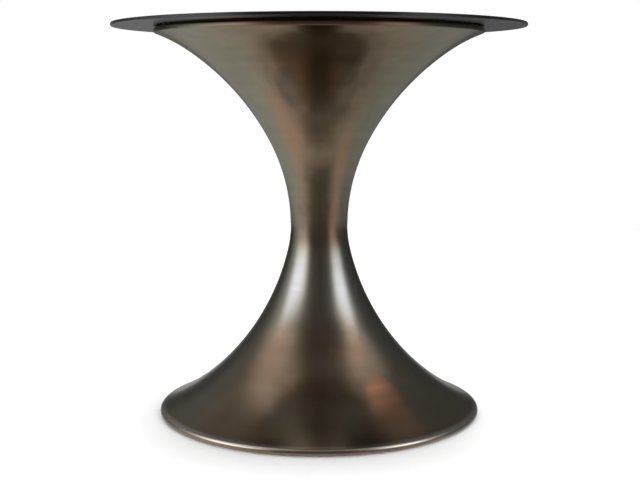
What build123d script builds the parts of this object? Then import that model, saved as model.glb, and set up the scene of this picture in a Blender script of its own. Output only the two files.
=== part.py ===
"""Pedestal base of a dining table: two spun metal trumpets, welded at the waist, under a round plate.

Millimetres, +Z up. The origin is on the floor, on the axis of the pedestal.
"""
import os

from build123d import *

os.makedirs("parts", exist_ok=True)

# Driving dimensions
overall_height = 730.0
plate_diameter = 764.0
plate_thickness = 6.0
base_diameter = 610.0
lip_diameter = 610.0
waist_diameter = 108.0
waist_height = 356.0
sheet = 2.0
edge_bend = 3.0
shoulder_bend = 7.5

# Outside line of the two trumpets, from the waist outwards: each stretch is an arc, given by its
# radius and the angle that it turns, and one more arc runs on tangent into the rim or the lip
lower_neck_arc = (202.0, 13.5)
lower_flare_arc = (448.0, 40.5)
upper_neck_arc = (340.0, -27.7)
upper_flare_arc = (460.0, -28.3)

# Top of the body
spacer_thickness = 2.0
lip_height = 9.0
top_flange_width = 34.0
clamp_thickness = 6.0
clamp_outer_radius = 296.0
clamp_inner_radius = 262.0
spacer_outer_radius = 297.0
spacer_inner_radius = 271.0
plate_edge_chamfer = 1.0

# Screws that hold the plate, and the holes for the screws of a table top
plate_screw_count = 8
plate_screw_size = 8.0
plate_screw_head = 16.0
plate_screw_length = 18.0
plate_screw_tip = 0.8
plate_screw_circle = 283.0
plate_screw_socket = 5.0
plate_screw_socket_depth = 3.0
screw_clearance = 0.5
thread_allowance = 0.1
head_angle = 90
head_set_in = 0.1
top_hole_count = 8
top_hole_diameter = 8.5
top_hole_circle = 345.0

# Bottom of the body
glide_height = 3.0
ground_gap = 1.0
rim_height = 9.5
bottom_flange_width = 24.0
ballast_diameter = 588.0
ballast_thickness = 6.0
ballast_chamfer = 1.2

# Floor pads and their screws
glide_count = 6
glide_diameter = 26.0
glide_circle = 264.0
glide_edge_chamfer = 0.8
glide_screw_size = 4.0
glide_screw_head = 8.0
glide_screw_length = 8.0
glide_screw_socket = 2.5
glide_screw_socket_depth = 1.2
glide_head_recess = 0.6

# Levels and radii that follow from them
plate_underside = overall_height - plate_thickness
lip_top = plate_underside - spacer_thickness
lip_foot = lip_top - lip_height
flange_underside = lip_top - sheet
lip_radius = lip_diameter / 2
base_radius = base_diameter / 2
waist_radius = waist_diameter / 2
ballast_underside = ground_gap + sheet


# Lower trumpet: the outside line of the spun sheet runs from the waist over a rounded shoulder to
# the turned-in flange, and the wall is that line set off inwards by the sheet's thickness
with BuildPart() as lower_trumpet:
    with BuildSketch(Plane.XZ) as lower_wall:
        with BuildLine() as lower_line:
            low_neck = JernArc((waist_radius, waist_height), (0, -1), *lower_neck_arc)
            low_flare = JernArc(low_neck @ 1, low_neck % 1, *lower_flare_arc)
            brim = TangentArc(low_flare @ 1, (base_radius, rim_height), tangent=low_flare % 1)
            rim = Line(brim @ 1, (base_radius, ground_gap))
            Line(rim @ 1, (base_radius - bottom_flange_width, ground_gap))
            rim_corners = lower_line.vertices().group_by(Axis.X)[-1].sort_by(Axis.Y)
            fillet(rim_corners[0], edge_bend)
            fillet(rim_corners[-1], shoulder_bend)
            offset(amount=sheet, side=Side.RIGHT)
        make_face()
    revolve(axis=Axis.Z)
lower_trumpet.part.label = "lower_trumpet"
export_step(lower_trumpet.part, "parts/lower_trumpet.step")


# Upper trumpet: the same sheet, spun the other way up, with an upright lip and a flange to bolt to
with BuildPart() as upper_trumpet:
    with BuildSketch(Plane.XZ) as upper_wall:
        with BuildLine() as upper_line:
            high_neck = JernArc((waist_radius, waist_height), (0, 1), *upper_neck_arc)
            high_flare = JernArc(high_neck @ 1, high_neck % 1, *upper_flare_arc)
            crown = TangentArc(high_flare @ 1, (lip_radius, lip_foot), tangent=high_flare % 1)
            lip = Line(crown @ 1, (lip_radius, lip_top))
            Line(lip @ 1, (lip_radius - top_flange_width, lip_top))
            fillet(upper_line.vertices().group_by(Axis.X)[-1], edge_bend)
            offset(amount=sheet, side=Side.LEFT)
        make_face()
    revolve(axis=Axis.Z)
    with BuildSketch(Plane.XY.offset(flange_underside)):
        with PolarLocations(plate_screw_circle, plate_screw_count):
            Circle(plate_screw_size / 2 + screw_clearance)
    extrude(amount=sheet, mode=Mode.SUBTRACT)
upper_trumpet.part.label = "upper_trumpet"
export_step(upper_trumpet.part, "parts/upper_trumpet.step")


# Round plate that carries the table top
with BuildPart() as top_plate:
    with BuildSketch(Plane.XY.offset(plate_underside)):
        Circle(plate_diameter / 2)
    extrude(amount=plate_thickness)
    chamfer(top_plate.edges().filter_by(GeomType.CIRCLE), plate_edge_chamfer)
    with Locations(Plane.XY.offset(overall_height)):
        with PolarLocations(plate_screw_circle, plate_screw_count):
            CounterSinkHole(
                radius=plate_screw_size / 2 + screw_clearance,
                counter_sink_radius=plate_screw_head / 2,
                counter_sink_angle=head_angle,
            )
        with PolarLocations(top_hole_circle, top_hole_count, start_angle=180 / top_hole_count):
            Hole(top_hole_diameter / 2)
top_plate.part.label = "top_plate"
export_step(top_plate.part, "parts/top_plate.step")


# Thin black ring between the body and the plate
with BuildPart() as spacer_ring:
    with BuildSketch(Plane.XY.offset(lip_top)):
        Circle(spacer_outer_radius)
        Circle(spacer_inner_radius, mode=Mode.SUBTRACT)
        with PolarLocations(plate_screw_circle, plate_screw_count):
            Circle(plate_screw_size / 2 + screw_clearance, mode=Mode.SUBTRACT)
    extrude(amount=spacer_thickness)
spacer_ring.part.label = "spacer_ring"
export_step(spacer_ring.part, "parts/spacer_ring.step")


# Steel ring under the top flange, which the plate screws pull against
with BuildPart() as clamp_ring:
    with BuildSketch(Plane.XY.offset(flange_underside - clamp_thickness)):
        Circle(clamp_outer_radius)
        Circle(clamp_inner_radius, mode=Mode.SUBTRACT)
        with PolarLocations(plate_screw_circle, plate_screw_count):
            Circle(plate_screw_size / 2 + thread_allowance, mode=Mode.SUBTRACT)
    extrude(amount=clamp_thickness)
clamp_ring.part.label = "clamp_ring"
export_step(clamp_ring.part, "parts/clamp_ring.step")


# Countersunk screws of the plate: one is made at its own place and set round the circle
with BuildPart() as plate_screw:
    screw_face = overall_height - head_set_in
    head_radius = plate_screw_head / 2 - head_set_in
    with BuildSketch(Plane.XZ):
        with BuildLine():
            Polyline(
                (0, screw_face),
                (head_radius, screw_face),
                (plate_screw_size / 2, screw_face - head_radius + plate_screw_size / 2),
                (plate_screw_size / 2, screw_face - plate_screw_length),
                (0, screw_face - plate_screw_length),
                close=True,
            )
        make_face()
    revolve(axis=Axis.Z)
    chamfer(plate_screw.edges().sort_by(Axis.Z)[0], plate_screw_tip)
    with BuildSketch(Plane.XY.offset(screw_face)):
        RegularPolygon(plate_screw_socket / 2, 6, major_radius=False)
    extrude(amount=-plate_screw_socket_depth, mode=Mode.SUBTRACT)

with BuildPart() as plate_screws:
    with PolarLocations(plate_screw_circle, plate_screw_count):
        add(plate_screw.part)
plate_screws.part.label = "plate_screws"
export_step(plate_screws.part, "parts/plate_screws.step")


# Ballast plate that lies on the turned-in flange at the bottom
with BuildPart() as base_plate:
    with BuildSketch(Plane.XY.offset(ballast_underside)):
        Circle(ballast_diameter / 2)
        with PolarLocations(glide_circle, glide_count):
            Circle(glide_screw_size / 2 + thread_allowance, mode=Mode.SUBTRACT)
    extrude(amount=ballast_thickness)
    chamfer(base_plate.edges().filter_by(GeomType.CIRCLE).group_by(SortBy.RADIUS)[-1], ballast_chamfer)
base_plate.part.label = "base_plate"
export_step(base_plate.part, "parts/base_plate.step")


# Floor pads, each with a countersunk screw set into it from below
with BuildPart() as glide:
    with BuildSketch():
        Circle(glide_diameter / 2)
    extrude(amount=glide_height)
    chamfer(glide.edges().group_by(Axis.Z)[0], glide_edge_chamfer)
    with Locations(Plane.XY.rotated((180, 0, 0))):
        CounterSinkHole(
            radius=glide_screw_size / 2 + thread_allowance,
            counter_sink_radius=glide_screw_head / 2 + glide_head_recess,
            counter_sink_angle=head_angle,
        )

with BuildPart() as floor_glides:
    with PolarLocations(glide_circle, glide_count):
        add(glide.part)
floor_glides.part.label = "floor_glides"
export_step(floor_glides.part, "parts/floor_glides.step")

with BuildPart() as glide_screw:
    glide_head_radius = glide_screw_head / 2
    with BuildSketch(Plane.XZ):
        with BuildLine():
            Polyline(
                (0, glide_head_recess),
                (glide_head_radius, glide_head_recess),
                (glide_screw_size / 2, glide_head_recess + glide_head_radius - glide_screw_size / 2),
                (glide_screw_size / 2, glide_head_recess + glide_screw_length),
                (0, glide_head_recess + glide_screw_length),
                close=True,
            )
        make_face()
    revolve(axis=Axis.Z)
    with BuildSketch(Plane.XY.offset(glide_head_recess)):
        RegularPolygon(glide_screw_socket / 2, 6, major_radius=False)
    extrude(amount=glide_screw_socket_depth, mode=Mode.SUBTRACT)

with BuildPart() as glide_screws:
    with PolarLocations(glide_circle, glide_count):
        add(glide_screw.part)
glide_screws.part.label = "glide_screws"
export_step(glide_screws.part, "parts/glide_screws.step")
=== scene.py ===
"""Looks of a pedestal dining table base: two spun trumpets of patinated bronze under a gloss black plate."""
import math

import bpy
import numpy as np
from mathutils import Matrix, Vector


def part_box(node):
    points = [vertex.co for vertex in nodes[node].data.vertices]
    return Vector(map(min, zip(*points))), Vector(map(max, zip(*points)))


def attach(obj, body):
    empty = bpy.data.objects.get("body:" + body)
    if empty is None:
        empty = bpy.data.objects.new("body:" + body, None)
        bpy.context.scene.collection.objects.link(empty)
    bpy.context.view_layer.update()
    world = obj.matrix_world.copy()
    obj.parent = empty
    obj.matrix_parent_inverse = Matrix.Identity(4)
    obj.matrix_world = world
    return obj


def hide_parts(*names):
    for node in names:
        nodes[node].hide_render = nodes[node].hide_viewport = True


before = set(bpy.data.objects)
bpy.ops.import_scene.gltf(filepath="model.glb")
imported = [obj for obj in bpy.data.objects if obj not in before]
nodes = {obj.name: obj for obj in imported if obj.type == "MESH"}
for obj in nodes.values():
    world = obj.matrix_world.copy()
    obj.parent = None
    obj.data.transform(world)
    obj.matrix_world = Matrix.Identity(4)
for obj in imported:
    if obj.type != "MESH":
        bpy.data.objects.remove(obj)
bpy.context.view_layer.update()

# The photograph's camera, fitted to the round outlines of plate, lip and rim: metres and degrees, and
# millimetres for the lens and the sensor
camera_distance = 2.1484
camera_height = 0.6153
camera_tilt = 7.67
camera_lens = 64.03
sensor_width = 36.0
axis_offset = 0.0017

# Outside line of the spun body, from the waist outwards, in metres and degrees
waist_radius = 0.0540
lower_neck_arc = (0.202, 13.5)
lower_flare_arc = (0.448, 40.5)
upper_neck_arc = (0.340, 27.7)
upper_flare_arc = (0.460, 28.3)
rim_height = 0.0095
lip_height = 0.009
edge_bend = 0.003
shoulder_bend = 0.0075
sheet = 0.002
lower_flange = 0.024
upper_flange = 0.034

# Points on each stretch of that line, and facets round the body and round the floor
neck_points = 14
sweep_points = 26
brim_points = 18
shoulder_points = 13
edge_points = 9
turned_facets = 256
floor_facets = 96
floor_radius = 3.0

# Light of the room as the polished metal sees it, and light that falls on matt surfaces
room_glow = 0.125
ceiling_glow = 0.24
box_glow = 4.9
matt_light = 0.20
matt_light_overhead = 7.4

# Sizes that the frame gives
lower_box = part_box("lower_trumpet")
upper_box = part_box("upper_trumpet")
waist_height = upper_box[0].z
rim_radius = lower_box[1].x
lip_radius = upper_box[1].x
rim_foot = lower_box[0].z
lip_top = upper_box[1].z


class Wire:
    """One output of a node tree. Sums written with it add Math nodes."""

    def __init__(self, graph, socket):
        self.graph = graph
        self.socket = socket

    def math(self, operation, *values):
        return self.graph.node("ShaderNodeMath", {"operation": operation}, dict(enumerate(values)))

    def __add__(self, other):
        return self.math("ADD", self, other)

    def __radd__(self, other):
        return self.math("ADD", other, self)

    def __sub__(self, other):
        return self.math("SUBTRACT", self, other)

    def __rsub__(self, other):
        return self.math("SUBTRACT", other, self)

    def __mul__(self, other):
        return self.math("MULTIPLY", self, other)

    def __rmul__(self, other):
        return self.math("MULTIPLY", other, self)

    def __pow__(self, other):
        return self.math("POWER", self, other)

    def __abs__(self):
        return self.math("ABSOLUTE", self)

    def fade(self, start, end):
        """0 where this is at start, 1 where it is at end, and a smooth step between."""
        settings = {"interpolation_type": "SMOOTHSTEP", "clamp": True}
        inputs = {"Value": self, "From Min": start, "From Max": end}
        return self.graph.node("ShaderNodeMapRange", settings, inputs)


class Graph:
    """The nodes of one material, or of the world."""

    def __init__(self, tree):
        self.tree = tree
        tree.nodes.clear()

    def node(self, kind, settings=None, inputs=None, output=0):
        """Adds a node: its settings are set first, then the values or links of its sockets."""
        made = self.tree.nodes.new(kind)
        for name, value in (settings or {}).items():
            setattr(made, name, value)
        for name, value in (inputs or {}).items():
            if isinstance(value, Wire):
                self.tree.links.new(value.socket, made.inputs[name])
            else:
                made.inputs[name].default_value = value
        return Wire(self, made.outputs[output]) if made.outputs else None

    def mix(self, factor, first, second):
        """The first colour where factor is 0, the second where it is 1."""
        ends = [end if isinstance(end, Wire) else (*end, 1) for end in (first, second)]
        inputs = {"Factor": factor, 6: ends[0], 7: ends[1]}
        return self.node("ShaderNodeMix", {"data_type": "RGBA"}, inputs, 2)

    def noise(self, place, scale, detail=2.0, roughness=0.5):
        sizes = {"Vector": place, "Scale": scale, "Detail": detail, "Roughness": roughness}
        return self.node("ShaderNodeTexNoise", None, sizes)

    def axes(self, vector):
        """The three parts of a vector."""
        split = self.node("ShaderNodeSeparateXYZ", None, {"Vector": vector}).socket.node
        return [Wire(self, part) for part in split.outputs]

    def ray(self, kind):
        """1 for rays of this kind, 0 for all others."""
        return self.node("ShaderNodeLightPath", None, None, kind)

    def bump(self, height, distance, strength):
        inputs = {"Height": height, "Distance": distance, "Strength": strength}
        return self.node("ShaderNodeBump", None, inputs)

    def principled(self, inputs):
        """Ends a material in one Principled shader."""
        self.finish(self.node("ShaderNodeBsdfPrincipled", None, inputs))

    def finish(self, shader):
        self.node("ShaderNodeOutputMaterial", None, {"Surface": shader})


def new_material(name):
    """A material, its graph, and the place on the object that its patterns follow."""
    made = bpy.data.materials.new(name)
    made.use_nodes = True
    graph = Graph(made.node_tree)
    return made, graph, graph.node("ShaderNodeTexCoord", None, None, "Object")


def bearing(x, y):
    """Degrees round the upright axis: 0 towards the camera's side, 90 to the right, 180 behind."""
    return x.math("ARCTAN2", x, 0.0 - y) * (180 / math.pi)


def window(around, centre, half_width, soft):
    """1 round a bearing and 0 away from it, with a smooth step that is soft degrees wide on either side of
    half_width."""
    gap = abs(around.math("WRAP", around - centre, 180.0, -180.0))
    return gap.fade(half_width + soft, half_width - soft)


def painted_patches(around, height, clouds, patches):
    """Patches of painted light and shade, each of full strength in the middle and 0 at its cloudy rim. A patch
    is its bearing and half width in degrees, its height and half height in metres, and its strength."""
    total = 0.0
    for centre, half_width, middle, half_height, strength in patches:
        across = (around - centre) * (1 / half_width)
        along = (height - middle) * (1 / half_height)
        spot = across * across + along * along + 0.9 * (clouds - 0.5)
        total = total + strength * spot.fade(1.0, 0.1)
    return total


def patinated_bronze():
    """Spun bronze, brushed round and round and lacquered, with brown patina rubbed on by hand at the back and
    in blotches. The brown and copper towards the camera are painted reflections, and the lighter and darker
    patches are painted highlights and painted shade.
    """
    made, graph, here = new_material("patinated_bronze")
    x, y, z = graph.axes(here)
    radius = (x * x + y * y) ** 0.5
    around = bearing(x, y)
    turned = graph.node("ShaderNodeCombineXYZ", None, {"X": radius, "Y": z, "Z": 0.0})
    brushing = graph.noise(turned, 450.0, 3.0, 0.7)
    passes = graph.noise(turned, 60.0, 2.0, 0.6)
    blotches = graph.noise(here, 6.0, 3.0, 0.55)
    clouds = graph.noise(here, 16.0, 4.0, 0.6)

    # Olive all over, with brown patina down the back. The brown down the front, towards the camera, is painted
    # reflection, thinned on the slope above the shoulder where the lower highlights run.
    olive = graph.mix(clouds.fade(0.35, 0.65), (0.172, 0.168, 0.120), (0.194, 0.190, 0.138))
    olive = graph.mix(z.fade(0.42, 0.34), olive, (0.190, 0.179, 0.139))
    brown = graph.mix(clouds.fade(0.40, 0.60), (0.184, 0.128, 0.077), (0.228, 0.160, 0.098))
    sway = around + 18.0 * (clouds - 0.5)
    painted_front = window(sway, 0.0, 32.0, 17.0) * z.fade(0.16, 0.24)
    painted_front = painted_front + window(sway, -2.0, 46.0, 17.0) * z.fade(0.24, 0.16)
    highlight_band = z.fade(0.15, 0.22) * z.fade(0.34, 0.29)
    back = window(sway, 180.0, 50.0, 40.0)
    tone = graph.mix(0.9 * painted_front * (1 - 0.75 * highlight_band), olive, brown)
    tone = graph.mix(0.5 * back + 0.25 * blotches.fade(0.50, 0.66), tone, brown)

    # Painted light in patches, one layer on the other, each with its patches: painted reflections, painted
    # highlights and painted shade
    streaks = 0.6 + 0.4 * passes.fade(0.35, 0.60)
    layers = [
        # Copper where the upper flare mirrors the lower flare's highlights, and at the lower ends of those
        # highlights: painted reflection
        ((0.275, 0.168, 0.102), [
            (-30.0, 17.0, 0.53, 0.10, 0.70), (32.0, 14.0, 0.46, 0.11, 0.70),
            (34.0, 20.0, 0.365, 0.055, 0.70), (-15.0, 17.0, 0.64, 0.05, 0.42),
            (-36.0, 16.0, 0.11, 0.08, 0.42), (-6.0, 16.0, 0.080, 0.040, 0.42),
            (28.0, 14.0, 0.135, 0.030, 0.42)]),
        # Lighter patches low on the brim either side of the front: painted highlights
        ((0.33, 0.25, 0.17), [(-36.0, 22.0, 0.045, 0.060, 0.5)]),
        ((0.40, 0.28, 0.18), [(-29.0, 15.0, 0.026, 0.022, 0.5)]),
        ((0.42, 0.27, 0.17), [(31.0, 15.0, 0.034, 0.032, 0.7)]),
        # An orange streak where the right highlight runs down the brim: painted highlight
        ((0.41, 0.190, 0.100), [(34.0, 12.0, 0.066, 0.040, streaks)]),
        # Dark patches either side of the front of the upper flare: painted shade, a darker reflection
        ((0.080, 0.065, 0.045), [(-17.0, 11.0, 0.61, 0.045, 0.6), (15.0, 11.0, 0.60, 0.055, 0.6)]),
        # A lighter patch on the front of the brim by the rim: painted reflection
        ((0.32, 0.29, 0.25), [(0.0, 26.0, 0.04, 0.04, 0.6)]),
    ]
    for colour, patches in layers:
        tone = graph.mix(painted_patches(around, z, clouds, patches), tone, colour)

    # Copper on the front of the lip, towards the camera, is painted reflection; a lighter band on the rim's
    # shoulder is a painted highlight
    painted_lip_reflection = z.fade(0.712, 0.716) * window(around, 0.0, 30.0, 14.0)
    tone = graph.mix(0.7 * painted_lip_reflection, tone, (0.33, 0.185, 0.115))
    # Lighter metal round the rim's shoulder: painted highlight, which brightens the shoulder's reflection
    painted_shoulder_highlight = z.fade(0.0150, 0.0120) * z.fade(0.0070, 0.0095)
    tone = graph.mix(0.6 * painted_shoulder_highlight, tone, (0.60, 0.56, 0.53))
    streaked = graph.mix(0.03 * passes.fade(0.4, 0.7), tone, (0.60, 0.50, 0.40))
    graph.principled({
        "Base Color": streaked, "Metallic": 1.0, "Roughness": 0.20 + 0.08 * clouds + 0.02 * brushing,
        "Normal": graph.bump(brushing * 0.6 + passes * 0.4, 0.00002, 0.1),
        "Specular Tint": (0.50, 0.47, 0.44, 1), "Anisotropic": 0.5,
        "Coat Weight": 0.3, "Coat Roughness": 0.12})
    return made


def gloss_black():
    """Black lacquer on a flat steel plate, with faint waves and fine dust in the gloss."""
    made, graph, here = new_material("gloss_black")
    waves = graph.noise(here, 40.0, 2.0, 0.5)
    dust = graph.noise(here, 900.0, 2.0, 0.6)
    colour = graph.mix(waves, (0.004, 0.004, 0.005), (0.007, 0.007, 0.008))
    graph.principled({
        "Base Color": colour, "Roughness": 0.16 + 0.08 * dust, "Normal": graph.bump(waves, 0.0001, 0.15)})
    return made


def satin_black():
    """Powder coat on the ballast plate: fine orange peel and a satin sheen."""
    made, graph, here = new_material("satin_black")
    peel = graph.noise(here, 700.0, 2.0, 0.5)
    clouds = graph.noise(here, 12.0, 3.0, 0.5)
    colour = graph.mix(clouds, (0.026, 0.026, 0.028), (0.042, 0.042, 0.044))
    graph.principled({
        "Base Color": colour, "Roughness": 0.42 + 0.1 * peel, "Normal": graph.bump(peel, 0.00008, 0.5)})
    return made


def soft_black():
    """Matt black of the spacer and the floor pads, with a moulded grain."""
    made, graph, here = new_material("soft_black")
    grain = graph.noise(here, 1500.0, 2.0, 0.6)
    colour = graph.mix(grain, (0.010, 0.010, 0.010), (0.020, 0.020, 0.020))
    graph.principled({
        "Base Color": colour, "Roughness": 0.6 + 0.15 * grain, "Normal": graph.bump(grain, 0.00005, 0.5)})
    return made


def plain_steel():
    """Zinc-plated steel of the screws and the clamp ring, with a cloudy passivated film."""
    made, graph, here = new_material("plain_steel")
    clouds = graph.noise(here, 60.0, 3.0, 0.6)
    scratches = graph.noise(here, 1200.0, 2.0, 0.6)
    colour = graph.mix(clouds, (0.30, 0.30, 0.31), (0.46, 0.46, 0.45))
    graph.principled({
        "Base Color": colour, "Metallic": 1.0, "Roughness": 0.28 + 0.14 * scratches,
        "Normal": graph.bump(scratches, 0.00003, 0.4)})
    return made


def arc(start, heading, radius, turn, count):
    """Points of a stretch of circle, as radius + i height. It leaves start along heading and bends by turn:
    start + side * radius * e^(i heading) * (1 - e^(i bend)), where side is +i for a turn to the left and -i
    for one to the right."""
    bend = np.linspace(0, turn, count)
    return start + 1j * np.sign(turn) * radius * np.exp(1j * heading) * (1 - np.exp(1j * bend))


def arc_to(start, heading, end, cut, count):
    """The stretch of circle that leaves start along heading and would reach end, stopped short by cut.
    Half its turn is the angle between heading and the chord. Gives the points and the heading at the stop."""
    chord = end - start
    half = np.angle(chord * np.exp(-1j * heading))
    radius = abs(chord) / (2 * abs(np.sin(half)))
    turn = 2 * half - np.sign(half) * cut / radius
    return arc(start, heading, radius, turn, count), heading + turn


def flare(side, neck, sweep, end_radius, end_height, bend, edge_height, flange):
    """Outside line of one trumpet, from the waist to the end of its flange. side is 1 upwards, -1 downwards.
    Two arcs and a closing arc lead to the edge, one bend turns it upright, and a small one turns it in."""
    heading = side * math.pi / 2
    waist = waist_radius + 1j * waist_height
    run_neck = arc(waist, heading, neck[0], -side * math.radians(neck[1]), neck_points)
    heading -= side * math.radians(neck[1])
    run_sweep = arc(run_neck[-1], heading, sweep[0], -side * math.radians(sweep[1]), sweep_points)
    heading -= side * math.radians(sweep[1])
    corner = end_radius + 1j * end_height
    closing = 2 * np.angle((corner - run_sweep[-1]) * np.exp(-1j * heading))
    cut = bend * math.tan((math.pi / 2 - abs(heading + closing)) / 2)
    run_brim, heading = arc_to(run_sweep[-1], heading, corner, cut, brim_points)
    turn = side * math.pi / 2 - heading
    run_shoulder = arc(run_brim[-1], heading, bend, turn, shoulder_points)
    upright = run_shoulder[-1].real + 1j * (edge_height - side * edge_bend)
    run_edge = arc(upright, side * math.pi / 2, edge_bend, side * math.pi / 2, edge_points)
    tip = end_radius - flange + 1j * edge_height
    return np.concatenate([run_neck, run_sweep[1:], run_brim[1:], run_shoulder[1:], run_edge, [tip]])


def turned_surface(name, line, finish):
    """A closed line of radius + i height turned about Z: x = r cos a, y = r sin a, over a full turn of a."""
    angle = np.linspace(0, 2 * math.pi, turned_facets, endpoint=False)
    radius, height = np.abs(line.real)[:, None], line.imag[:, None]
    grid = np.stack([radius * np.cos(angle), radius * np.sin(angle), height + 0 * angle], axis=-1)
    rows, columns = grid.shape[:2]
    row, column = np.meshgrid(np.arange(rows), np.arange(columns), indexing="ij")
    after, beside = (row + 1) % rows, (column + 1) % columns
    corners = [(row, column), (row, beside), (after, beside), (after, column)]
    faces = np.stack([r * columns + c for r, c in corners], axis=-1).reshape(-1, 4)
    mesh = bpy.data.meshes.new(name)
    mesh.from_pydata(grid.reshape(-1, 3), [], faces)
    mesh.polygons.foreach_set("use_smooth", np.ones(len(faces), bool))
    mesh.materials.append(finish)
    made = bpy.data.objects.new(name, mesh)
    bpy.context.scene.collection.objects.link(made)
    return made


def spun_body(finish):
    """Both trumpets as one skin, because the weld at the waist is ground away. The inner wall is the outside
    line set off by the sheet's thickness along its normal, i times the unit tangent."""
    lower = flare(-1, lower_neck_arc, lower_flare_arc, rim_radius, rim_height,
                  shoulder_bend, rim_foot, lower_flange)
    upper = flare(1, upper_neck_arc, upper_flare_arc, lip_radius, lip_top - lip_height,
                  edge_bend, lip_top, upper_flange)
    outside = np.concatenate([lower[::-1], upper[1:]])
    tangent = np.gradient(outside)
    inside = outside + 1j * sheet * tangent / np.abs(tangent)
    body = turned_surface("spun_body", np.concatenate([outside, inside[::-1]]), finish)
    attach(body, "root")
    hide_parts("lower_trumpet", "upper_trumpet")


def dress(name, finish):
    """Gives a CAD node its finish."""
    slots = nodes[name].data.materials
    slots.clear()
    slots.append(finish)


def shine(around, rise, panels):
    """Light of soft-edged panels. A panel is its strength, then its bearing, half width and softness, then
    spans of elevation, all in degrees: it is dark at the first end of each span, and full at the second."""
    total = 0.0
    for strength, across, *spans in panels:
        light = strength * window(around, *across)
        for dark_end, full_end in spans:
            light = light * rise.fade(dark_end, full_end)
        total = total + light
    return total


def studio():
    """The room as the polished metal sees it: a tall cool soft box on either side of the camera, weaker light
    from the walls beyond and from overhead, and the rest dim. Camera rays see plain white. Matt surfaces are
    lit from behind, from the right and from overhead."""
    world = bpy.data.worlds.new("studio")
    bpy.context.scene.world = world
    world.use_nodes = True
    world.cycles.sampling_method = "NONE"
    graph = Graph(world.node_tree)
    east, north, up = graph.axes(graph.node("ShaderNodeTexCoord", None, None, "Generated"))
    around = bearing(east, north)
    rise = up.math("ARCSINE", up) * (180 / math.pi)
    boxes = shine(around, rise, [
        (0.88, (-66.5, 23.0, 10.0), (0.0, 22.0), (43.0, 26.0)),
        (0.08, (-83.0, 26.0, 9.0), (20.0, 40.0), (72.0, 50.0)),
        (0.966, (64.0, 18.0, 8.0), (0.0, 28.0), (47.0, 30.0)),
        (0.105, (70.0, 14.0, 7.0), (20.0, 40.0), (66.0, 50.0)),
    ])
    walls = shine(around, rise, [
        (0.58, (-80.0, 34.0, 14.0), (92.0, 72.0)),
        (0.16, (-146.0, 20.0, 12.0), (12.0, 24.0), (48.0, 34.0)),
        (0.75, (86.0, 24.0, 14.0), (25.0, 42.0), (70.0, 58.0)),
        (0.60, (-68.0, 22.0, 8.0), (14.0, 2.0)),
        (0.70, (54.0, 13.0, 7.0), (14.0, 2.0)),
        (0.09, (-165.0, 14.0, 8.0), (8.0, 0.0)),
        (0.04, (180.0, 60.0, 30.0), (8.0, 20.0)),
    ])
    lamps = shine(around, rise, [
        (3.75, (180.0, 55.0, 15.0), (58.0, 42.0)),
        (2.26, (90.0, 40.0, 20.0), (40.0, 20.0)),
    ])
    glow = room_glow + walls + ceiling_glow * rise.fade(55.0, 82.0) + box_glow * boxes
    lamps = matt_light + lamps + matt_light_overhead * rise.fade(69.0, 79.0)
    seen = graph.ray("Is Camera Ray")
    matt = graph.ray("Is Diffuse Ray")
    mirrored = (1 - seen) * (1 - matt)
    tint = graph.mix(boxes * mirrored, (1.0, 1.0, 1.0), (0.80, 0.90, 1.19))
    strength = glow * mirrored + seen + lamps * matt
    light = graph.node("ShaderNodeBackground", None, {"Color": tint, "Strength": strength})
    graph.node("ShaderNodeOutputWorld", None, {"Surface": light})


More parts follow.
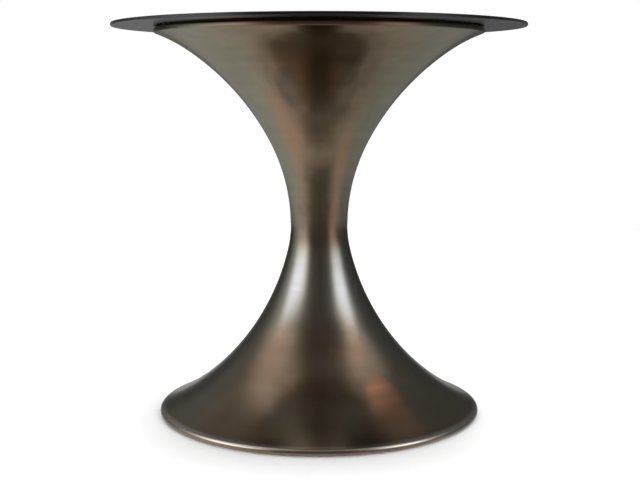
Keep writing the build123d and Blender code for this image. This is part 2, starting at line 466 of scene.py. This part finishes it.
def floor():
    """A plain white floor to the camera and to matt rays. To glossy rays it glows with painted light: bright
    on either side, painted shade darker in front and behind, a painted shadow close to the base, and a bright
    painted ring right at the rim."""
    made, graph, here = new_material("floor_white")
    x, y = graph.axes(here)[:2]
    around = bearing(x, y)
    away = (x * x + y * y) ** 0.5
    # Closeness to the base, for the painted shadow round it in the glow
    near = away.fade(0.47, 0.38)
    left = window(around, -108.0, 65.0, 24.0 - 13.0 * near)
    right = window(around, 112.0, 69.0, 22.0 - 12.0 * near)
    painted_front = 0.20 + 0.65 * away.fade(0.62, 0.45) * (1 - near) + 0.25 * near
    painted_front = painted_front + 0.25 * window(around, -42.0, 22.0, 16.0) * away.fade(0.9, 0.6)
    dip = (0.08 + 0.16 * away.fade(0.9, 1.4)) * window(around, 100.0, 22.0, 14.0)
    lit = painted_front * (1 - left - right) + 0.99 * left + 0.72 * right - dip
    lit = lit * (1 - near * (0.35 + 0.25 * window(around, 0.0, 36.0, 12.0)))
    lit = lit * (1 - 0.4 * window(around, 180.0, 70.0, 30.0) * away.fade(1.2, 2.6))
    lit = lit + 0.6 * away.fade(0.34, 0.31)
    shade = graph.mix(lit, (0.0, 0.0, 0.0), (1.0, 1.0, 1.0))
    colour = graph.mix(graph.noise(here, 3.0), (0.90, 0.90, 0.90), (0.92, 0.92, 0.92))
    matt = graph.node("ShaderNodeBsdfDiffuse", None, {"Color": colour})
    # The glow that glossy rays see is painted light and shade, not a lamp
    glow = graph.node("ShaderNodeEmission", None, {"Color": shade, "Strength": 1.0})
    mirrored = graph.ray("Is Glossy Ray")
    graph.finish(graph.node("ShaderNodeMixShader", None, {"Fac": mirrored, 1: matt, 2: glow}))
    angle = np.linspace(0, 2 * math.pi, floor_facets, endpoint=False)
    ring = np.stack([floor_radius * np.cos(angle), floor_radius * np.sin(angle), 0 * angle], axis=-1)
    mesh = bpy.data.meshes.new("floor")
    mesh.from_pydata(ring, [], [np.arange(floor_facets).tolist()])
    mesh.materials.append(made)
    made_floor = bpy.data.objects.new("floor", mesh)
    bpy.context.scene.collection.objects.link(made_floor)


def camera():
    """The photograph's point of view."""
    lens = bpy.data.cameras.new("camera")
    lens.lens = camera_lens
    lens.sensor_width = sensor_width
    eye = bpy.data.objects.new("camera", lens)
    eye.location = (axis_offset, -camera_distance, camera_height)
    eye.rotation_euler = (math.radians(90 - camera_tilt), 0, 0)
    bpy.context.scene.collection.objects.link(eye)
    bpy.context.scene.camera = eye


spun_body(patinated_bronze())
dress("top_plate", gloss_black())
dress("base_plate", satin_black())
matt_black = soft_black()
for part in ("spacer_ring", "floor_glides"):
    dress(part, matt_black)
steel = plain_steel()
for part in ("clamp_ring", "plate_screws", "glide_screws"):
    dress(part, steel)
floor()
studio()
camera()
bpy.context.scene.view_settings.view_transform = "Standard"
